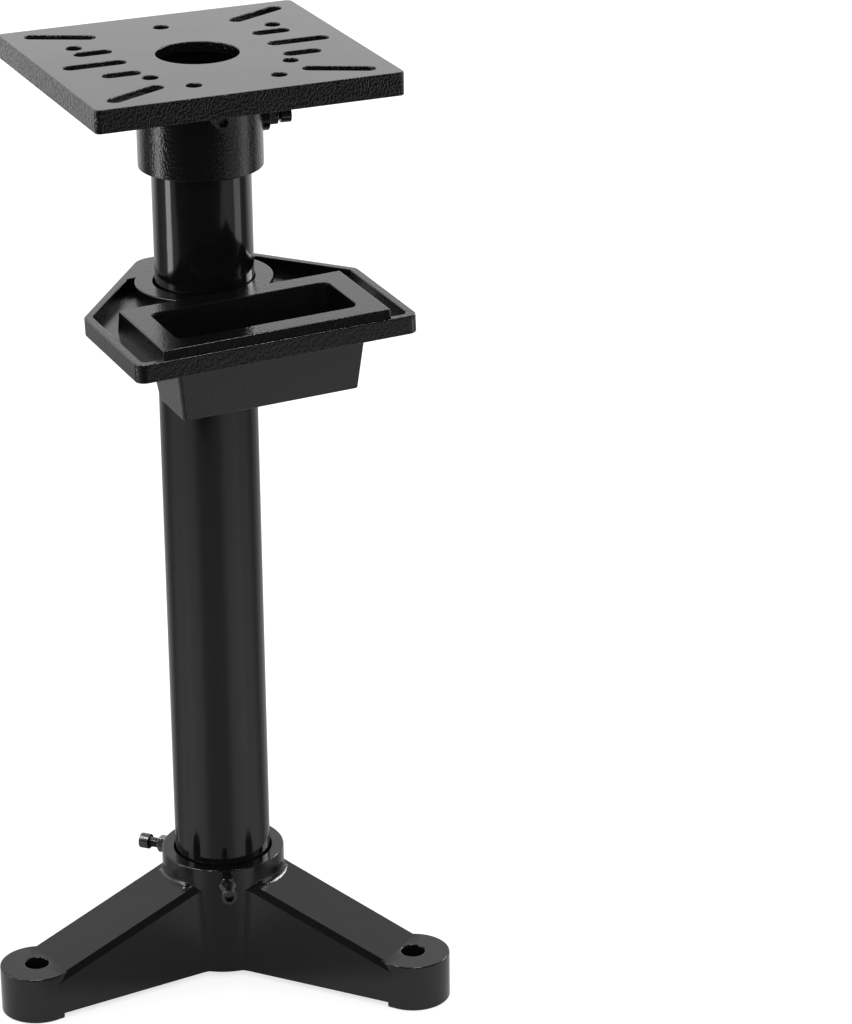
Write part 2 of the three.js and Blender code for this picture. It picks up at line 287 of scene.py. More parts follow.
def merge_folds(piece: Piece, passes: int = 3, least: float = 1.0) -> None:
    """Merges thin faces that a bevel has folded over their neighbours back into them.

    Args:
        piece: the bevelled piece.
        passes: the most passes over the piece.
        least: area of the smallest face that counts, in square millimetres.
    """

    def folded(edge: Edge) -> bool:
        """Says whether the faces at an edge lie on each other and both count."""
        return edge.calc_face_angle(0) > FOLDED and min(f.calc_area() for f in edge.link_faces) > least * MM**2

    for _ in range(passes):
        with picking(piece, folded) as found:
            if not found:
                return
            bpy.ops.mesh.dissolve_edges(use_verts=False, use_face_split=False)
            split_faces()


def split_faces() -> None:
    """Splits the faces with more than four sides of the piece that is open in edit mode."""
    bpy.ops.mesh.select_mode(type="FACE")
    bpy.ops.mesh.select_all(action="DESELECT")
    bpy.ops.mesh.select_face_by_sides(number=4, type="GREATER")
    bpy.ops.mesh.quads_convert_to_tris(quad_method="BEAUTY", ngon_method="BEAUTY")


def soften(piece: Piece, width: float, steps: int = 3, sharp: float = 28) -> None:
    """Rounds every sharp outer edge of a finished shape and smooths its shading.

    Args:
        piece: the piece to soften.
        width: bevel width.
        steps: number of facets across the bevel.
        sharp: least angle of an edge that is rounded.
    """
    with editing(piece, whole=True):
        bpy.ops.mesh.remove_doubles(threshold=WELD * MM)
        bpy.ops.mesh.dissolve_limited(angle_limit=FLAT)
        split_faces()
    with picking(piece, lambda edge: edge.is_convex and edge.calc_face_angle(0) > math.radians(sharp)):
        bpy.ops.transform.edge_bevelweight(value=1.0)
    modify(
        piece, "BEVEL", width=width * MM, segments=steps, limit_method="WEIGHT", use_clamp_overlap=False,
        loop_slide=False, miter_outer="MITER_ARC", face_strength_mode="FSTR_ALL",
    )
    merge_folds(piece)
    with editing(piece, whole=True):
        bpy.ops.mesh.dissolve_degenerate(threshold=HAIR * MM)
    bpy.ops.object.shade_smooth()
    with editing(piece, "EDGE"):
        bpy.ops.mesh.edges_select_sharp(sharpness=CRISP)
        bpy.ops.mesh.mark_sharp()
    modify(piece, "WEIGHTED_NORMAL", keep_sharp=True, weight=100, use_face_influence=True)


def arc(centre: Point, radius: float, start: float, end: float, steps: int) -> list[Point]:
    """The points along an arc between two angles, both ends included."""
    angles = [math.radians(start + (end - start) * i / steps) for i in range(steps + 1)]
    return [(centre[0] + radius * math.cos(a), centre[1] + radius * math.sin(a)) for a in angles]


def rounded(corners: Sequence[Point], radii: Sequence[float], steps: int = 8) -> list[Point]:
    """An outline whose corners are rounded, each with its own radius.

    Args:
        corners: the corners, anticlockwise.
        radii: one radius a corner.
        steps: number of stretches along each rounded corner.

    Returns:
        The outline's points.
    """
    outline: list[Point] = []
    for i, corner in enumerate(corners):
        here = Vector(corner)
        before = (Vector(corners[i - 1]) - here).normalized()
        after = (Vector(corners[(i + 1) % len(corners)]) - here).normalized()
        half = before.angle(after) / 2
        centre = here + (before + after).normalized() * radii[i] / math.sin(half)
        first = here + before * radii[i] / math.tan(half) - centre
        last = here + after * radii[i] / math.tan(half) - centre
        for step in range(steps + 1):
            spoke = first.slerp(last, step / steps) * radii[i]
            outline.append((centre.x + spoke.x, centre.y + spoke.y))
    return outline


def rectangle(width: float, depth: float, radius: float, middle: Point = (0.0, 0.0)) -> list[Point]:
    """A rectangle with rounded corners, as an outline."""
    x, y = width / 2, depth / 2
    corners = [(middle[0] + a, middle[1] + b) for a, b in ((-x, -y), (x, -y), (x, y), (-x, y))]
    return rounded(corners, [radius] * 4)


def radial_rod(name: str, radius: float, inner: float, outer: float, degrees: float, height: float) -> Piece:
    """A round bar that points away from the column, between two distances from its axis."""
    return point_outwards(rod(name, radius, inner, outer, SMALL_ROUND), degrees, height)


def point_outwards(piece: Piece, degrees: float, height: float) -> Piece:
    """Turns a piece that was made along Z so that it points away from the column.

    Args:
        piece: the piece to turn.
        degrees: its direction about Z.
        height: its height above the floor.

    Returns:
        The piece, with its place in its mesh.
    """
    piece.rotation_euler = Euler((0, math.pi / 2, math.radians(degrees)), "XYZ")
    piece.location = (0, 0, height * MM)
    settle(piece)
    return piece


# Finishes


class Wiring:
    """A node tree, with short ways to add the nodes that the finishes and the studio use."""

    def __init__(self, tree: bpy.types.NodeTree) -> None:
        """Keeps the tree's nodes and links."""
        self.nodes, self.links = tree.nodes, tree.links

    def fill(self, node: bpy.types.Node, inputs: Inputs) -> None:
        """Links a node's inputs, each by its name or number, or sets them to a value."""
        for key, signal in inputs.items():
            if isinstance(signal, Socket):
                self.links.new(signal, node.inputs[key])
            else:
                node.inputs[key].default_value = signal

    def add(self, kind: str, inputs: Inputs, **settings: object) -> bpy.types.Node:
        """Adds a shader node.

        Args:
            kind: the node's type, without its prefix.
            inputs: what its inputs take.
            settings: its other settings.

        Returns:
            The node.
        """
        node = self.nodes.new("ShaderNode" + kind)
        for name, value in settings.items():
            setattr(node, name, value)
        self.fill(node, inputs)
        return node

    def math(self, operation: str, *signals: Signal) -> Socket:
        """Works out one number from others."""
        return self.add("Math", dict(enumerate(signals)), operation=operation).outputs[0]

    def spread(self, signal: Signal, start: Point, end: Point = (0.0, 1.0)) -> Socket:
        """Maps one range of a value onto another, and eases the way between."""
        inputs = dict(enumerate((signal, *start, *end)))
        return self.add("MapRange", inputs, interpolation_type="SMOOTHSTEP").outputs["Result"]

    def mix(self, share: Signal, first: Signal, second: Signal) -> Socket:
        """Mixes two numbers by a share."""
        return self.add("Mix", {0: share, 2: first, 3: second}).outputs[0]

    def along(self, vector: Socket, direction: Vector) -> Socket:
        """How far a vector goes in a direction."""
        return self.add("VectorMath", {0: vector, 1: direction}, operation="DOT_PRODUCT").outputs["Value"]

    def noise(self, vector: Socket, scale: Signal, detail: float) -> Socket:
        """The value of a noise texture."""
        return self.add("TexNoise", {"Vector": vector, "Scale": scale, "Detail": detail}).outputs["Fac"]


NOISE_RANGE = (0.3, 0.7)
GRAIN_FINENESS = 2.7
PATCHES = 18.0


def relief_group() -> bpy.types.NodeTree:
    """The height of hammered paint: shallow bumps with a fine grain over them.

    Returns:
        A node group with the inputs Vector, Cells and Grain, and the outputs Height and Patches.
    """
    found = bpy.data.node_groups.get("paint_relief")
    if found:
        return found
    group = bpy.data.node_groups.new("paint_relief", "ShaderNodeTree")
    group.interface.new_socket("Vector", in_out="INPUT", socket_type="NodeSocketVector")
    for way, names in (("INPUT", ("Cells", "Grain")), ("OUTPUT", ("Height", "Patches"))):
        for name in names:
            group.interface.new_socket(name, in_out=way, socket_type="NodeSocketFloat")
    wiring = Wiring(group)
    inputs = group.nodes.new("NodeGroupInput")
    outputs = group.nodes.new("NodeGroupOutput")
    place, cells = inputs.outputs["Vector"], inputs.outputs["Cells"]
    bumps = wiring.spread(wiring.noise(place, cells, 1.0), NOISE_RANGE)
    grain = wiring.noise(place, wiring.math("MULTIPLY", cells, GRAIN_FINENESS), 1.0)
    height = wiring.math("MULTIPLY_ADD", grain, inputs.outputs["Grain"], bumps)
    wiring.fill(outputs, {"Height": height, "Patches": wiring.noise(place, PATCHES, 3.0)})
    return group


WHITE = (1.0, 1.0, 1.0, 1.0)
COAL = (0.0035, 0.0035, 0.0038)
SOOT = (0.006, 0.006, 0.0064)


@dataclass(frozen=True)
class Paint:
    """A black paint or oxide finish with a relief of its own.

    Attributes:
        name: the material's name.
        gloss: roughness of the glossier and of the duller patches.
        cells: relief bumps per metre.
        grain: share of fine grain in the relief.
        relief: height of the relief.
        dark: colour of the darker patches.
        light: colour of the lighter patches.
        level_relief: share of the relief that is left on level faces.
        smooth_below: height below which the paint runs out smooth.
        low_relief: share of the relief that is left there.
        metal: how far the surface is bare metal.
        stretch: how much longer the relief is along X, Y and Z.
        level: upward share of a normal, from sloping to level.
        run_out: height over which the relief runs out.
    """

    name: str
    gloss: Point
    cells: float
    grain: float
    relief: float
    dark: Triple = COAL
    light: Triple = SOOT
    level_relief: float = 1.0
    smooth_below: float = 0.0
    low_relief: float = 1.0
    metal: float = 0.0
    stretch: Triple = (1.0, 1.0, 1.6)
    level: Point = (0.75, 0.97)
    run_out: float = 4.0

    def material(self) -> bpy.types.Material:
        """Builds the material, once, with a relief that is lower on level faces and where the paint runs out.

        Returns:
            The material with its nodes.
        """
        found = bpy.data.materials.get(self.name)
        if found:
            return found
        material = bpy.data.materials.new(self.name)
        material.use_nodes = True
        wiring = Wiring(material.node_tree)
        place = wiring.add("TexCoord", {})
        scale = tuple(1 / s for s in self.stretch)
        mapping = wiring.add("Mapping", {"Vector": place.outputs["Object"], "Scale": scale})
        inputs = {"Vector": mapping.outputs["Vector"], "Cells": self.cells, "Grain": self.grain}
        relief = wiring.add("Group", inputs, node_tree=relief_group())
        patches = relief.outputs["Patches"]
        tones = {0: patches, 6: (*self.dark, 1.0), 7: (*self.light, 1.0)}
        height = relief.outputs["Height"]
        limits = (self.smooth_below - self.run_out) * MM, self.smooth_below * MM
        level, low = (1.0, self.level_relief), (self.low_relief, 1.0)
        for output, start, end in (("Normal", self.level, level), ("Object", limits, low)):
            if min(end) < 1:
                share = wiring.spread(wiring.along(place.outputs[output], UP), start, end)
                height = wiring.math("MULTIPLY", height, share)
        inputs = {
            "Base Color": wiring.add("Mix", tones, data_type="RGBA").outputs[2],
            "Metallic": self.metal,
            "Roughness": wiring.spread(patches, NOISE_RANGE, self.gloss),
            "IOR": 1.5,
            "Normal": wiring.add("Bump", {"Distance": self.relief * MM, "Height": height}).outputs["Normal"],
        }
        wiring.fill(wiring.nodes["Principled BSDF"], inputs)
        return material


BASE_PAINT = Paint("base_hammered_paint", (0.10, 0.15), cells=520, grain=0.25, relief=0.05, level_relief=0.3)
TRAY_PAINT = Paint("tray_hammered_paint", (0.10, 0.15), cells=560, grain=0.25, relief=0.10, level_relief=0.5)
HEAD_PAINT = Paint(
    "head_hammered_paint", (0.13, 0.17), cells=560, grain=0.3, relief=0.34,
    level_relief=0.01, smooth_below=855.0, low_relief=0.3,
)
TUBE_PAINT = Paint("tube_gloss_paint", (0.08, 0.12), cells=150, grain=0.2, relief=0.03, stretch=(1.0, 1.0, 6.0))
OXIDE = {"cells": 1500, "grain": 0.5, "relief": 0.02, "metal": 1.0}
SCREW_OXIDE = Paint("screw_black_oxide", (0.22, 0.36), dark=(0.07,) * 3, light=(0.14,) * 3, **OXIDE)
# The nut's oxide colours are lighter than the screw's. This is painted sheen that stands in for the nut's bright
# highlights, laid over its real black oxide.
NUT_OXIDE_AND_SHEEN = Paint("nut_black_oxide_and_painted_sheen", (0.2, 0.34), dark=(0.18,) * 3, light=(0.28,) * 3, **OXIDE)


def dress(piece: Piece, name: str, node: str, body: str, finish: Paint) -> None:
    """Gives a finished piece its material and ties it to the frame.

    Args:
        piece: the finished piece.
        name: the piece's name.
        node: the solid that it stands for.
        body: the body that it moves with.
        finish: its paint.
    """
    piece.name = name
    piece.data.name = name
    piece.data.materials.clear()
    piece.data.materials.append(finish.material())
    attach(piece, body)
    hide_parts(node)
    LOG.info("%s: %d faces", name, len(piece.data.polygons))


# Sub-assemblies


@dataclass
class Fits:
    """Sizes that more than one piece uses."""

    column_radius: float = 44.45
    bore_gap: float = 1.3
    seat_gap: float = 0.3
    screw_hole: float = 5.05
    past: float = 5.0
    lap: float = 1.0

    @property
    def bore(self) -> float:
        """Radius of the castings' bores."""
        return self.column_radius + self.bore_gap


FITS = Fits()


class Seat(NamedTuple):
    """Where a clamp screw sits in a casting.

    Attributes:
        side: the side that its names say.
        angle: its direction about Z.
        drop: its distance below the casting's top.
        bare: the length of thread that shows.
        boss: height of the boss that it stands on.
    """

    side: str
    angle: float
    drop: float
    bare: float
    boss: float = 0.0

    def drill(self, casting: Piece, wall_radius: float, top: float) -> None:
        """Cuts the screw's hole into a casting, from its bore out through its wall."""
        ends = FITS.bore - FITS.past, wall_radius + self.boss + FITS.past
        act(casting, radial_rod("hole", FITS.screw_hole, *ends, self.angle, top - self.drop))


@dataclass
class Base:
    """The cast hub with its three legs and feet."""

    turn: float = -20.5
    hub_wall: float = 11.5
    seat_height: float = 14.0
    seat_ledge: float = 8.7
    leg_angles: Triple = (-150.0, -30.0, 90.0)
    leg_raise: float = 5.0
    leg_drop: float = 21.5
    leg_half_at_hub: float = 39.0
    leg_half_at_foot: float = 33.8
    leg_draft: float = 0.05
    leg_shoulder: float = 5.0
    leg_wall: float = 9.0
    leg_root: float = 56.0
    leg_fillet: float = 18.0
    leg_fillet_steps: int = 10
    leg_end: float = 3.0
    hollow_inset: float = 1.5
    hollow_corner: float = 4.0
    foot_reach: float = 200.8
    foot_radius: float = 34.0
    foot_top: float = 45.0
    foot_sides: int = 72
    foot_hole: float = 11.0
    foot_hole_sides: int = 40
    pad_end: float = 9.5
    hub_fillet: float = 5.0
    hub_fillet_steps: int = 6
    fillet_half: float = 27.0
    crease_inset: float = 14.0
    screws: tuple[Seat, ...] = (Seat("front", -86.5, 11.5, 14.0), Seat("left", 155.0, 11.5, 10.0))
    edge: float = 1.3
    sharp: float = 50.0

    def __post_init__(self) -> None:
        """Works out the sizes that follow from the others."""
        self.hub_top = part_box("base_casting")[1].z / MM
        self.hub_radius = FITS.bore + self.hub_wall
        crease = self.foot_reach - self.crease_inset
        slope = math.atan((self.hub_top - self.leg_drop - self.foot_top) / (crease - self.hub_radius))
        self.on_top = Vector((crease, 0, self.foot_top)) * MM
        self.top_normal = Vector((math.sin(slope), 0, math.cos(slope)))

    def leg_outline(self, height: float) -> list[Point]:
        """One leg's plan at a height, along +X, with fillets that run into the hub."""
        half, end = self.leg_half_at_hub - self.leg_draft * (height - self.leg_raise), self.leg_half_at_foot
        reach = self.leg_root + self.leg_fillet
        centre = (math.sqrt(reach**2 - (half + self.leg_fillet) ** 2), half + self.leg_fillet)
        root = math.degrees(math.atan2(centre[1], centre[0]))
        left = [(self.foot_reach - self.leg_end, end)]
        left += arc(centre, self.leg_fillet, 270, 180 + root, self.leg_fillet_steps)
        left.append((0, self.leg_root * math.sin(math.radians(root)) / 2))
        return [(x, -y) for x, y in reversed(left)] + left

    def off_top(self, place: Vector) -> float:
        """Distance of a place from the plane of a leg's top, along +X, in millimetres."""
        return abs((place - self.on_top).dot(self.top_normal)) / MM

    def cut_top(self, piece: Piece, depth: float = 0.0) -> None:
        """Cuts off what is above a leg's top, or above a depth below it."""
        place = self.on_top - self.top_normal * depth * MM
        with editing(piece, whole=True):
            bpy.ops.mesh.bisect(plane_co=place, plane_no=self.top_normal, use_fill=True, clear_outer=True)

    def leg(self) -> Piece:
        """One leg with its sloping top, shoulders and hollow underside, along +X."""
        top = self.hub_top + self.leg_drop
        leg = loft("leg", self.leg_outline(self.leg_raise), self.leg_outline(top), self.leg_raise, top)
        self.cut_top(leg)

        def beside_top(edge: Edge) -> bool:
            """Says whether an edge runs along a side of the leg's top."""
            first, last = (v.co for v in edge.verts)
            return first.y * last.y > 0 and all(self.off_top(p) < HAIR for p in (first, last))

        bevel_edges(leg, beside_top, self.leg_shoulder, 1)
        return act(leg, self.leg_hollow())

    def leg_hollow(self) -> Piece:
        """The hollow under one leg, as a solid to take away."""
        half = self.leg_half_at_foot - self.leg_wall - self.hollow_inset
        end = self.foot_reach - self.foot_radius - self.leg_wall
        length = end - self.hub_radius
        plan = rectangle(length, 2 * half, self.hollow_corner, (self.hub_radius + length / 2, 0))
        hollow = prism("leg_hollow", plan, -FITS.past, self.hub_top)
        self.cut_top(hollow, self.leg_wall)
        return hollow

    def foot(self) -> tuple[Piece, Piece]:
        """One foot along +X, whose pad ends straight beside the hole, and its bolt hole as a solid to take away."""
        foot = rod("foot", self.foot_radius, 0, self.foot_top, self.foot_sides)
        inner, side = -self.foot_radius - FITS.past, self.foot_radius + FITS.past
        round_hole = self.foot_hole + FITS.past
        gap = [(inner, -side), (-self.pad_end, -side), (-self.pad_end, -round_hole), (-round_hole, -self.foot_hole)]
        gap += [(x, -y) for x, y in reversed(gap)]
        act(foot, prism("pad_gap", gap, -FITS.past, self.leg_raise))
        half = self.leg_half_at_foot
        pad = [(-self.pad_end, -half), (0, -half), (0, half), (-self.pad_end, half)]
        act(foot, prism("pad", pad, 0, self.leg_raise + FITS.lap), Cut.JOIN)
        hole = rod("foot_hole", self.foot_hole, -FITS.past, self.foot_top + FITS.past, self.foot_hole_sides)
        for piece in (foot, hole):
            piece.location.x = self.foot_reach * MM
            settle(piece)
        return foot, hole

    def fillet_legs(self, casting: Piece) -> None:
        """Rounds the inner corners where the legs' tops run into the hub."""
        turns = [Matrix.Rotation(-math.radians(angle), 3, "Z") for angle in self.leg_angles]

        def at_hub(edge: Edge) -> bool:
            """Says whether an edge lies both on a leg's top and on the hub."""
            ends = [v.co for v in edge.verts]
            if any(abs(p.xy.length / MM - self.hub_radius) > ON_ROUND for p in ends):
                return False
            along_x = ([turn @ p for p in ends] for turn in turns)
            return any(
                all(self.off_top(p) < ON_FACE and abs(p.y) < self.fillet_half * MM for p in pair) for pair in along_x
            )

        bevel_edges(casting, at_hub, self.hub_fillet, self.hub_fillet_steps)

    def around(self, casting: Piece, pattern: Piece, cut: Cut) -> None:
        """Lets a pattern along +X act on the casting at every leg, and removes it."""
        for angle in self.leg_angles:
            make_active(pattern)
            bpy.ops.object.duplicate(linked=False)
            copy = bpy.context.object
            copy.rotation_euler.z = math.radians(angle)
            settle(copy)
            act(casting, copy, cut)
        bpy.data.objects.remove(pattern)

    def build(self) -> None:
        """Builds the casting and ties it to its body."""
        casting = rod("hub", self.hub_radius, self.leg_raise, self.hub_top)
        foot, hole = self.foot()
        self.around(casting, self.leg(), Cut.JOIN)
        self.around(casting, foot, Cut.JOIN)
        self.fillet_legs(casting)
        self.around(casting, hole, Cut.REMOVE)
        act(casting, rod("bore", FITS.bore, self.seat_height, self.hub_top + FITS.past))
        seat_hole = FITS.bore - self.seat_ledge
        act(casting, rod("seat_hole", seat_hole, -FITS.past, self.seat_height + FITS.past))
        for seat in self.screws:
            seat.drill(casting, self.hub_radius, self.hub_top)
        soften(casting, self.edge, sharp=self.sharp)
        casting.rotation_euler.z = math.radians(self.turn)
        settle(casting)
        dress(casting, "tripod_base", "base_casting", "base", BASE_PAINT)


@dataclass
class Column:
    """The round tube."""

    wall: float = 3.2
    edge: float = 0.6
    sides: int = 160

    def build(self) -> None:
        """Builds the tube and ties it to its body."""
        low, high = (corner.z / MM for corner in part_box("column_tube"))
        tube = rod("tube", FITS.column_radius, low, high, self.sides)
        bore = rod("tube_bore", FITS.column_radius - self.wall, low - FITS.past, high + FITS.past, self.sides)
        act(tube, bore)
        soften(tube, self.edge, steps=2)
        dress(tube, "column", "column_tube", "column", TUBE_PAINT)


@dataclass
class Tray:
    """The cast tray with its pot and collar. Heights are from the collar's top."""

    below_head: float = 105.0
    lean: float = -2.0
    width: float = 257.5
    front: float = 185.0
    side_back: float = 45.5
    back: float = 77.0
    back_width: float = 70.0
    corner: float = 9.0
    back_corner: float = 20.0
    depth: float = 16.8
    rim_width: float = 7.5
    floor_drop: float = 10.4
    pocket_back: float = 30.0
    pocket_corner: float = 5.0
    collar_wall: float = 16.2
    collar_below: float = 25.5
    frame_rise: float = 8.6
    frame_setback: float = 2.5
    frame_side: float = 25.2
    frame_depth: float = 115.0
    frame_width: float = 20.5
    pot_wall: float = 3.7
    pot_flare: Point = (-6.0, -9.5)
    pot_corner: float = 8.0
    shell_corner: float = 3.0
    frame_corner: float = 1.5
    frame_flare: Point = (1.8, 1.8)
    pot_below: float = 51.8
    pot_floor: float = 7.0
    pot_fillet: float = 5.0
    pot_fillet_steps: int = 4
    edge: float = 1.0

    def __post_init__(self) -> None:
        """Works out the sizes that follow from the others."""
        self.collar_radius = FITS.bore + self.collar_wall
        self.top = Head().bottom - self.below_head
        self.pot_y = self.frame_setback + self.frame_depth / 2 - self.front
        self.mouth = (self.width - 2 * (self.frame_side + self.frame_width), self.frame_depth - 2 * self.frame_width)
        self.screw = Seat("", angle=90.0, drop=self.depth + self.collar_below / 2, bare=8.0)

    def plan(self, inset: float, back: float, corner: float, back_corner: float) -> list[Point]:
        """The tray's plan, drawn in by a distance, with its rear cut off straight at a place."""
        x, x_back = self.width / 2, self.back_width / 2
        run = (self.back + self.side_back) / (x - x_back)
        turn_y = -self.side_back - inset * math.tan(math.atan(1 / run) / 2)
        x_in, near = x - inset, inset - self.front
        x_end = x_in - (back - turn_y) / run
        corners = [(-x_in, near), (x_in, near), (x_in, turn_y), (x_end, back), (-x_end, back), (-x_in, turn_y)]
        return rounded(corners, [corner, corner, corner, back_corner, back_corner, corner])

    def block(self, name: str, size: Point, flare: Point, corner: float, ends: Point) -> Piece:
        """A box with rounded corners and leaning sides, round the pot's middle.

        Args:
            name: the piece's name.
            size: its width and depth at its top.
            flare: how far its sides stand out further at its bottom.
            corner: radius of its corners.
            ends: heights of its bottom and top.

        Returns:
            The box, with its place in its mesh.
        """
        foot = [side + 2 * out for side, out in zip(size, flare)]
        lower, upper = (rectangle(*plan, corner, (0.0, self.pot_y)) for plan in (foot, size))
        return loft(name, lower, upper, *ends)

    def build(self) -> None:
        """Builds the casting and ties it to its body."""
        top, bottom = self.top, self.top - self.depth
        pot_bottom = bottom - self.pot_below
        casting = prism("dish", self.plan(0, self.back, self.corner, self.back_corner), bottom, top)
        pocket = self.plan(self.rim_width, self.pocket_back, self.pocket_corner, self.pocket_corner)
        floor = top - self.floor_drop
        act(casting, prism("pocket", pocket, floor, top + FITS.past))
        frame, ends = (self.width - 2 * self.frame_side, self.frame_depth), (floor - FITS.lap, top + self.frame_rise)
        act(casting, self.block("frame", frame, self.frame_flare, self.frame_corner, ends), Cut.JOIN)
        collar_bottom = bottom - self.collar_below
        act(casting, rod("collar", self.collar_radius, collar_bottom, top), Cut.JOIN)
        shell = (self.mouth[0] + 2 * self.pot_wall, self.mouth[1] + 2 * self.pot_wall)
        ends = pot_bottom, bottom + FITS.lap
        act(casting, self.block("shell", shell, self.pot_flare, self.shell_corner, ends), Cut.JOIN)
        ends = pot_bottom + self.pot_floor, top + self.frame_rise + FITS.past
        inside = self.block("inside", self.mouth, self.pot_flare, self.pot_corner, ends)
        bevel_edges(inside, at_bottom(ends[0]), self.pot_fillet, self.pot_fillet_steps)
        act(casting, inside)
        act(casting, rod("bore", FITS.bore, collar_bottom - FITS.past, top + 2 * FITS.past))
        self.tip(casting, (top + collar_bottom) / 2)
        self.screw.drill(casting, self.collar_radius, top)
        soften(casting, self.edge)
        dress(casting, "tray_with_pot", "tray_casting", "tray", TRAY_PAINT)

    def tip(self, casting: Piece, middle: float) -> None:
        """Leans the casting about the middle of its collar, within the play of its bore."""
        pivot = Matrix.Translation((0, 0, middle * MM))
        casting.matrix_world = pivot @ Matrix.Rotation(math.radians(self.lean), 4, "Y") @ pivot.inverted()
        settle(casting)


@dataclass
class Head:
    """The cast head plate with its socket. Heights are from its top face."""

    corner: float = 5.0
    edge_height: float = 21.0
    edge_wall: float = 9.0
    web: float = 10.0
    ledge: float = 9.0
    centre_sides: int = 80
    socket_wall: float = 10.0
    bolt_hole: float = 7.0
    bolt_holes: tuple[Point, ...] = (
        (-93.3, 59.4), (93.3, 59.4), (-64.3, -57.5), (64.3, -57.5), (-38.8, -95.6), (38.8, -95.6), (0, 93.3),
    )
    slot_width: float = 13.5
    slot_steps: int = 14
    slot_margin: float = 17.0
    slot_long: float = 57.0
    slot_short: float = 34.5
    slot_row: float = 37.5
    corner_margin: Point = (19.1, 20.3)
    corner_run: Point = (56.7, 28.5)
    boss_radius: float = 12.7
    screws: tuple[Seat, ...] = (Seat("front", -95.5, 41.0, 7.0), Seat("right", -7.0, 62.6, 2.5, boss=5.6))
    edge: float = 1.0

    def __post_init__(self) -> None:
        """Reads the plate's size from the frame."""
        low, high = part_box("head_casting")
        self.width, self.depth = (high.x - low.x) / MM, (high.y - low.y) / MM
        self.bottom, self.top = low.z / MM, high.z / MM
        self.socket_radius = FITS.bore + self.socket_wall

    def slot(self, start: Point, end: Point) -> Piece:
        """A round-ended slot from one end point to the other, as a solid to take away."""
        radius = self.slot_width / 2
        turn = math.atan2(end[1] - start[1], end[0] - start[0])
        dx, dy, along = radius * math.cos(turn), radius * math.sin(turn), math.degrees(turn)
        outline = arc((end[0] - dx, end[1] - dy), radius, along - 90, along + 90, self.slot_steps)
        outline += arc((start[0] + dx, start[1] + dy), radius, along + 90, along + 270, self.slot_steps)
        return prism("slot", outline, self.top - self.web - FITS.past, self.top + FITS.past)

    def slots(self) -> list[Piece]:
        """All the slots: three straight rows on each side and one at each corner."""
        inner = self.width / 2 - self.slot_margin - self.slot_long
        end = (self.width / 2 - self.corner_margin[0], self.depth / 2 - self.corner_margin[1])
        start = (end[0] - self.corner_run[0], end[1] - self.corner_run[1])
        made = []
        for side in (-1, 1):
            for row, length in ((-1, self.slot_short), (0, self.slot_long), (1, self.slot_short)):
                y = row * self.slot_row
                made.append(self.slot((side * inner, y), (side * (inner + length), y)))
            for fore in (-1, 1):
                made.append(self.slot((side * start[0], fore * start[1]), (side * end[0], fore * end[1])))
        return made

    def build(self) -> None:
        """Builds the casting and ties it to its body."""
        top, web = self.top, self.top - self.web
        casting = prism("plate", rectangle(self.width, self.depth, self.corner), top - self.edge_height, top)
        inner = (self.width - 2 * self.edge_wall, self.depth - 2 * self.edge_wall)
        recess = prism("recess", rectangle(*inner, self.corner), top - self.edge_height - FITS.past, web)
        act(casting, recess)
        act(casting, rod("socket", self.socket_radius, self.bottom, web + FITS.lap), Cut.JOIN)
        for seat in self.screws:
            if seat.boss:
                ends = self.socket_radius - FITS.past, self.socket_radius + seat.boss
                act(casting, radial_rod("boss", self.boss_radius, *ends, seat.angle, top - seat.drop), Cut.JOIN)
        act(casting, rod("bore", FITS.bore, self.bottom - FITS.past, web))
        through = web - FITS.past, top + FITS.past
        act(casting, rod("centre", FITS.bore - self.ledge, *through, self.centre_sides))
        for slot in self.slots():
            act(casting, slot)
        for place in self.bolt_holes:
            hole = rod("hole", self.bolt_hole, *through, SMALL_ROUND)
            hole.location = (*(Vector(place) * MM), 0)
            settle(hole)
            act(casting, hole)
        for seat in self.screws:
            seat.drill(casting, self.socket_radius, top)
        soften(casting, self.edge)
        dress(casting, "head_plate", "head_casting", "head", HEAD_PAINT)


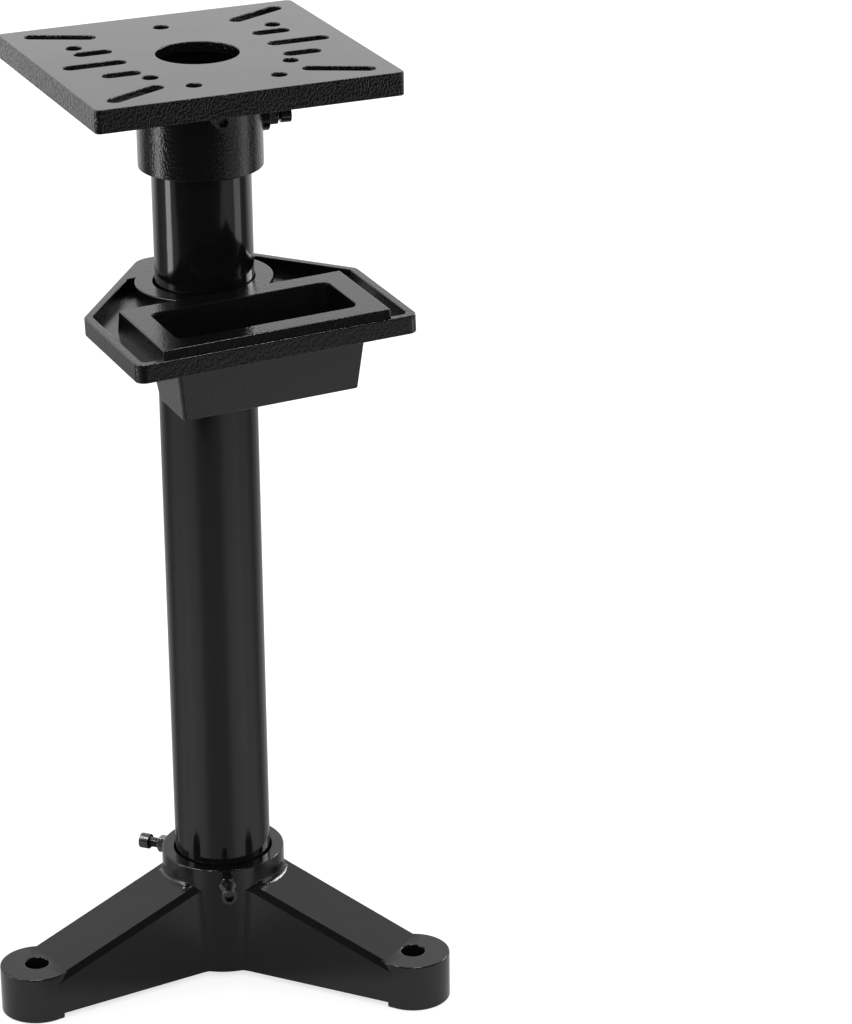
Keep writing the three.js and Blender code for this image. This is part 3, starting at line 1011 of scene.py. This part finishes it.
@dataclass
class ClampScrew:
    """One cap screw with its lock nut.

    Attributes:
        place: the casting that its names say.
        seat: where it sits in that casting.
        wall_radius: outer radius of the casting's wall.
        top: height of the casting's top.
        turn: how far the casting is turned about Z.
    """

    place: str
    seat: Seat
    wall_radius: float
    top: float
    turn: float = 0.0
    shank: float = 4.75
    root: float = 3.95
    pitch: float = 1.59
    ridge_share: float = 0.9
    ridge_sink: float = 0.15
    ridge_steps: int = 24
    tip_bevel: float = 0.5
    crisp: float = 35.0
    head_radius: float = 7.15
    head_length: float = 9.5
    head_sides: int = 48
    head_edge: float = 0.5
    key: float = 7.9
    key_depth: float = 5.0
    nut_flats: float = 14.3
    nut_length: float = 8.3
    nut_bore: float = 4.9
    nut_chamfer: float = 0.9
    nut_edge: float = 0.25
    blank_gap: float = 0.05
    blank_sides: int = 64

    def __post_init__(self) -> None:
        """Works out where along its axis each part of the screw is."""
        self.tip = FITS.column_radius + FITS.seat_gap
        self.nut_seat = self.wall_radius + self.seat.boss + FITS.seat_gap
        self.head_seat = self.nut_seat + self.nut_length + self.seat.bare

    def thread(self) -> Piece:
        """The threaded shank, along Z: a core with one ridge wound round it."""
        ridge = begin("thread", bpy.ops.mesh.primitive_circle_add, vertices=3, radius=MM, fill_type="NOTHING")
        start = self.tip + self.pitch / 2
        foot, width = self.root - self.ridge_sink, self.pitch * self.ridge_share
        section = [(foot, 0.0), (self.shank, width / 2), (foot, width)]
        move_points(ridge, {i: Vector((r, 0, start + z)) * MM for i, (r, z) in enumerate(section)})
        turns, steps = int((self.head_seat - start) / self.pitch), self.ridge_steps
        once = {"axis": "Z", "angle": 2 * math.pi, "screw_offset": self.pitch * MM}
        modify(ridge, "SCREW", **once, iterations=turns, steps=steps, render_steps=steps)
        with editing(ridge, "FACE", whole=True):
            bpy.ops.mesh.remove_doubles(threshold=HAIR * MM)
            bpy.ops.mesh.fill_holes(sides=3)
            bpy.ops.mesh.select_all(action="SELECT")
            bpy.ops.mesh.normals_make_consistent(inside=False)
        core = rod("core", self.root, self.tip, self.head_seat + FITS.lap, SMALL_ROUND)
        bevel_edges(core, at_bottom(self.tip), self.tip_bevel, 1)
        make_active(core)
        ridge.select_set(True)
        bpy.ops.object.join()
        return core

    def head(self) -> Piece:
        """The round head with its hexagon socket, along Z."""
        end = self.head_seat + self.head_length
        head = rod("screw_head", self.head_radius, self.head_seat, end, self.head_sides)
        socket = rod("socket", self.key / math.sqrt(3), end - self.key_depth, end + FITS.past, 6)
        act(head, socket)
        soften(head, self.head_edge)
        return head

    def nut(self) -> Piece:
        """The hexagon nut with its turned-down corners, along Z."""
        low, high = self.nut_seat, self.nut_seat + self.nut_length
        corner = self.nut_flats / math.sqrt(3)
        nut = rod("nut", corner, low, high, 6)
        blank = rod("blank", corner + self.blank_gap, low, high, self.blank_sides)
        bevel_edges(blank, lambda e: abs(e.verts[0].co.z - e.verts[1].co.z) < HAIR * MM, self.nut_chamfer, 1)
        act(nut, blank, Cut.KEEP_COMMON)
        act(nut, rod("nut_bore", self.nut_bore, low - FITS.past, high + FITS.past, SMALL_ROUND))
        soften(nut, self.nut_edge, steps=2)
        return nut

    def build(self) -> None:
        """Builds the screw and its nut and ties each to its body."""
        suffix = f"_{self.seat.side}" if self.seat.side else ""
        screw, head, nut = self.thread(), self.head(), self.nut()
        make_active(screw)
        bpy.ops.object.shade_smooth_by_angle(angle=math.radians(self.crisp))
        head.select_set(True)
        bpy.ops.object.join()
        names = (screw, "screw", "clamp_screw", SCREW_OXIDE), (nut, "nut", "lock_nut", NUT_OXIDE_AND_SHEEN)
        for piece, name, node, finish in names:
            point_outwards(piece, self.turn + self.seat.angle, self.top - self.seat.drop)
            body = f"{self.place}_{node}{suffix}"
            dress(piece, f"{self.place}_{name}{suffix}", body, body, finish)


# Studio


class Lamp(NamedTuple):
    """A soft box that faces the column's axis. Lengths in metres.

    Attributes:
        name: the lamp's name.
        angle: its direction from the axis, to the right of where the camera looks.
        reach: its distance from the axis.
        height: its height.
        aim: the height that it faces.
        size: its width and height.
        watts: its power.
    """

    name: str
    angle: float
    reach: float
    height: float
    aim: float
    size: Point
    watts: float


@dataclass
class Studio:
    """The camera, the pale ground and the soft light. Lengths in metres, far_angles in radians."""

    camera_place: Triple = (-1.15197, -3.18247, 1.81157)
    heading: float = 23.199
    tilt: float = 22.002
    roll: float = 0.607
    focal_length: float = 140.58
    ground_size: float = 14.0
    ground_gap: float = 0.0004
    bright_side: float = -25.0
    side_fade: Point = (-0.2, 0.7)
    backdrop: Point = (1.36, 0.78)
    backdrop_heights: Point = (0.25, 0.42)
    dim_side: float = 0.06
    ambient: float = 1.0
    ground_white: float = 0.5
    ground_lift: float = 0.72
    gloss_white: float = 0.4
    gloss_glow: float = 0.5
    ground_tones: tuple[Point, ...] = (
        (0, 0.28), (18, 0.30), (42, 0.60), (62, 0.66), (85, 0.50), (115, 0.20), (128, 0.32), (145, 0.42), (180, 0.38),
    )
    fade_run: Point = (0.6, 2.2)
    fade: Point = (1.3, 0.85)
    paper_turn: float = 7.5
    paper_end: Point = (1.44, 1.51)
    past_paper: float = 0.12
    far_run: Point = (1.35, 3.0)
    far_angles: Point = (2.0, 2.4)
    far_ground: float = 0.75
    lamps: tuple[Lamp, ...] = (
        Lamp("overhead", 0, 0, 2.7, 0.5, (1.4, 0.5), 48),
        Lamp("high_left", -105, 1.6, 2.4, 0.5, (1.2, 0.5), 34),
        Lamp("high_right", 50, 2.2, 1.5, 0.5, (1.0, 0.5), 24),
        Lamp("left_box", -100, 1.75, 0.62, 0.62, (0.45, 1.2), 7),
        Lamp("right_box", 90, 1.75, 0.62, 0.62, (0.6, 1.2), 2.5),
    )

    def level(self, degrees: float = 0.0) -> Vector:
        """A level direction, by its angle from where the camera looks, to the right."""
        turn = math.radians(self.heading + degrees)
        return Vector((math.sin(turn), math.cos(turn), 0))

    def place(self, name: str, data: bpy.types.ID) -> bpy.types.Object:
        """Puts a camera or a lamp into the scene."""
        thing = bpy.data.objects.new(name, data)
        bpy.context.scene.collection.objects.link(thing)
        return thing

    def camera(self) -> None:
        """Sets up the camera at the photograph's place."""
        data = bpy.data.cameras.new("camera")
        data.lens = self.focal_length
        data.sensor_width = 36.0
        data.clip_end = 50.0
        camera = self.place("camera", data)
        matrix = Matrix.Translation(self.camera_place)
        for degrees, axis in ((-self.heading, "Z"), (90 - self.tilt, "X"), (-self.roll, "Z")):
            matrix @= Matrix.Rotation(math.radians(degrees), 4, axis)
        camera.matrix_world = matrix
        bpy.context.scene.camera = camera

    def rays(self, wiring: Wiring) -> tuple[Socket, Socket]:
        """The sockets that say whether a ray comes from the camera, and whether it comes from gloss."""
        light = wiring.add("LightPath", {}).outputs
        mirrored = wiring.math("MAXIMUM", light["Is Glossy Ray"], light["Is Transmission Ray"])
        return light["Is Camera Ray"], mirrored

    def world(self) -> None:
        """A surround that is white behind the stand, and in gloss dims towards the camera's side."""
        world = bpy.data.worlds.new("surround")
        bpy.context.scene.world = world
        world.use_nodes = True
        wiring = Wiring(world.node_tree)
        direction = wiring.add("TexCoord", {}).outputs["Generated"]
        backdrop = wiring.spread(wiring.along(direction, UP), self.backdrop_heights, self.backdrop)
        side = wiring.along(direction, self.level(self.bright_side))
        shown = wiring.mix(wiring.spread(side, self.side_fade), self.dim_side, backdrop)
        camera, mirrored = self.rays(wiring)
        background = wiring.mix(camera, shown, 1.0)
        strength = wiring.mix(wiring.math("MAXIMUM", camera, mirrored), self.ambient, background)
        wiring.fill(wiring.nodes["Background"], {"Strength": strength, "Color": WHITE})

    def floor(self) -> None:
        """A white ground that keeps the stand's soft shadow, and in gloss dims towards its front end."""
        add, low = bpy.ops.mesh.primitive_plane_add, (0, 0, -self.ground_gap)
        floor = begin("floor", add, size=self.ground_size, location=low)
        material = bpy.data.materials.new("ground_white")
        material.use_nodes = True
        wiring = Wiring(material.node_tree)
        shown = self.ground_in_gloss(wiring, wiring.add("TexCoord", {}).outputs["Object"])
        camera, mirrored = self.rays(wiring)
        white = wiring.mix(mirrored, self.ground_white, wiring.math("MULTIPLY", shown, self.gloss_white))
        glow = wiring.math("MULTIPLY", mirrored, wiring.math("MULTIPLY", shown, self.gloss_glow))
        inputs = {
            "Base Color": white,
            "Roughness": 1.0,
            "Specular IOR Level": 0.0,
            "Emission Color": WHITE,
            "Emission Strength": wiring.math("MULTIPLY_ADD", camera, self.ground_lift, glow),
        }
        wiring.fill(wiring.nodes["Principled BSDF"], inputs)
        floor.data.materials.append(material)

    def ground_in_gloss(self, wiring: Wiring, place: Socket) -> Socket:
        """The ground's tone as gloss shows it: lit on both sides, dim in front and dark past its end.

        Args:
            wiring: the ground's nodes.
            place: the socket that gives the place on the ground.

        Returns:
            The socket that gives the tone.
        """
        ahead, right = wiring.along(place, -self.level()), wiring.along(place, self.level(90))
        angle = wiring.math("ABSOLUTE", wiring.math("ARCTAN2", right, ahead))
        ramp = wiring.add("ValToRGB", {"Fac": wiring.math("DIVIDE", angle, math.pi)})
        ramp.color_ramp.interpolation = "EASE"
        stops = ramp.color_ramp.elements
        while len(stops) < len(self.ground_tones):
            stops.new(0.5)
        for stop, (degrees, tone) in zip(stops, self.ground_tones):
            stop.position = degrees / 180
            stop.color = (tone, tone, tone, 1)
        reach = wiring.add("VectorMath", {0: place}, operation="LENGTH").outputs["Value"]
        fade = wiring.spread(reach, self.fade_run, self.fade)
        paper = wiring.spread(wiring.along(place, -self.level(self.paper_turn)), self.paper_end, (1.0, self.past_paper))
        near = wiring.math("MULTIPLY", wiring.math("MULTIPLY", ramp.outputs["Color"], fade), paper)
        far = wiring.spread(reach, self.far_run, (0.0, self.far_ground))
        return wiring.math("MULTIPLY_ADD", far, wiring.spread(angle, self.far_angles), near)

    def hang(self, lamp: Lamp) -> None:
        """Hangs a soft box, which lights gloss alone."""
        data = bpy.data.lights.new(lamp.name, "AREA")
        data.shape = "RECTANGLE"
        data.size, data.size_y = lamp.size
        data.energy = lamp.watts
        box = self.place(lamp.name, data)
        box.location = self.level(lamp.angle) * lamp.reach + UP * lamp.height
        box.visible_diffuse = False
        box.rotation_euler = (UP * lamp.aim - box.location).to_track_quat("-Z", "Y").to_euler()

    def build(self) -> None:
        """Builds the whole studio."""
        bpy.context.scene.view_settings.view_transform = "Standard"
        self.camera()
        self.world()
        self.floor()
        for lamp in self.lamps:
            self.hang(lamp)


def main() -> None:
    """Builds the studio and every piece of the stand."""
    logging.basicConfig(level=logging.INFO, format="%(name)s: %(message)s")
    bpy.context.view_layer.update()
    Studio().build()
    base, tray, head = Base(), Tray(), Head()
    screws = [ClampScrew("base", seat, base.hub_radius, base.hub_top, base.turn) for seat in base.screws]
    screws += [ClampScrew("head", seat, head.socket_radius, head.top) for seat in head.screws]
    screws.append(ClampScrew("tray", tray.screw, tray.collar_radius, tray.top))
    for part in (base, Column(), tray, head, *screws):
        part.build()


if __name__ == "__main__":
    main()
